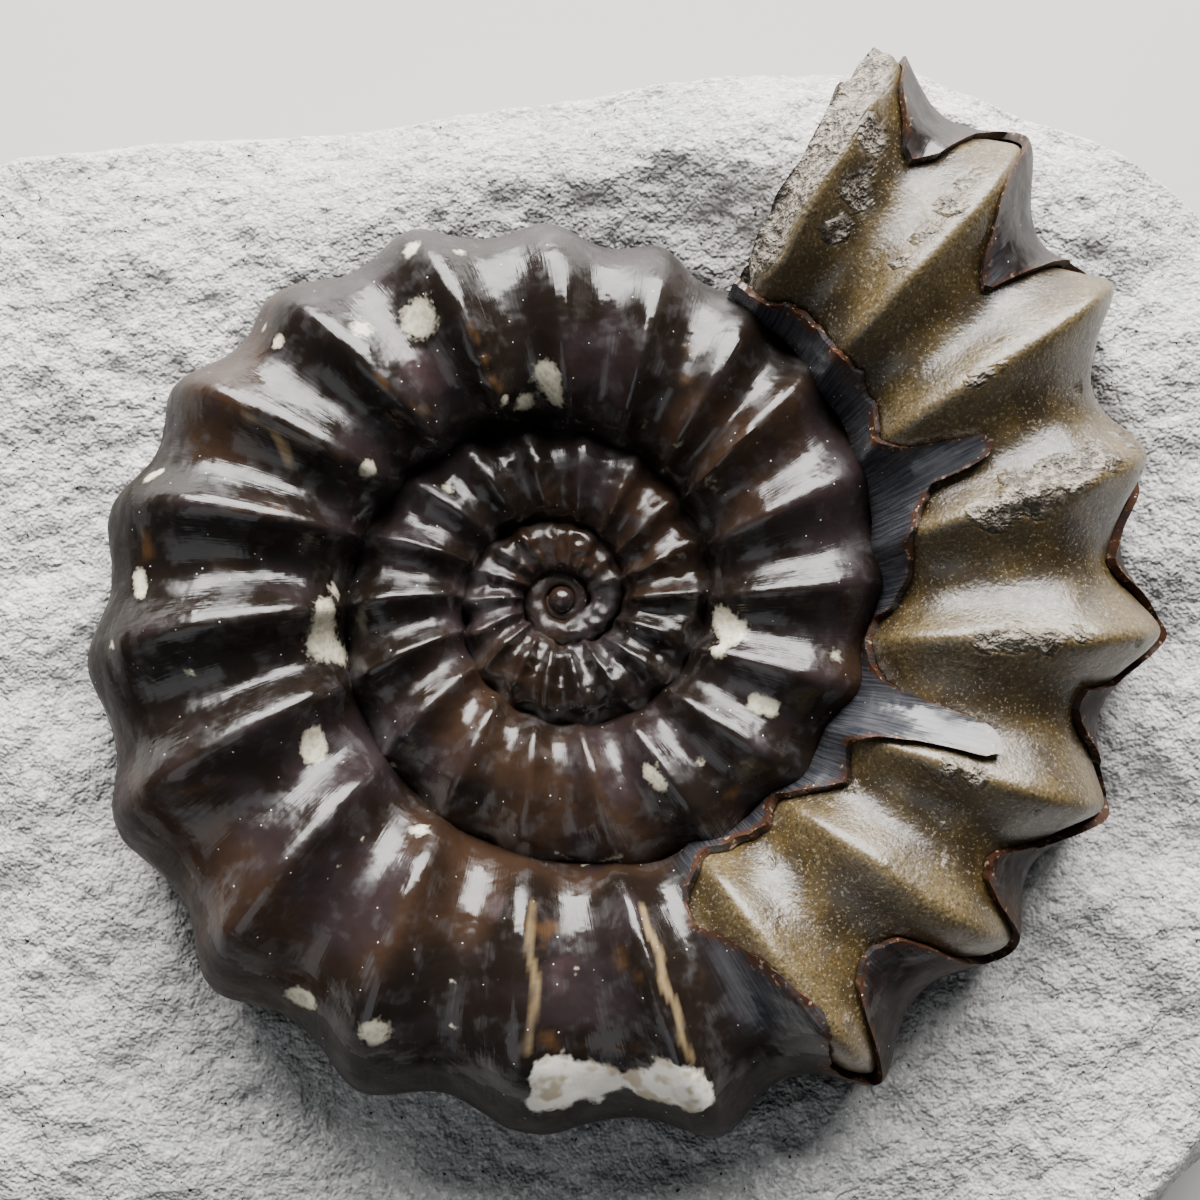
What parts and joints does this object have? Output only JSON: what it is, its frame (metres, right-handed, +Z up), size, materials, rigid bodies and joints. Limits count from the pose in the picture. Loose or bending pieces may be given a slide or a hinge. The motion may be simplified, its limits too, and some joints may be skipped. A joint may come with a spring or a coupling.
{
  "type": "ammonite fossil",
  "caption": "Ribbed ammonite fossil in dark polished calcite, its body chamber bare stone, lying in a flat-based block of grey limestone.",
  "frame": {"origin": "centre of the block's footprint, on its flat underside", "axes": "+Z up out of the face that shows the coil, +X to the right and +Y away, towards the mouth of the shell"},
  "size_m": [0.094, 0.084, 0.0329],
  "materials": {
    "limestone": "rough, granular light grey stone",
    "calcite_shell": "polished dark brown calcite with cream spots",
    "brown_stone": "satin brown stone with fine glitter"
  },
  "bodies": {
    "root": {"limestone_matrix": "limestone", "ammonite_shell": "calcite_shell", "body_chamber_mould": "brown_stone"}
  },
  "joints": []
}
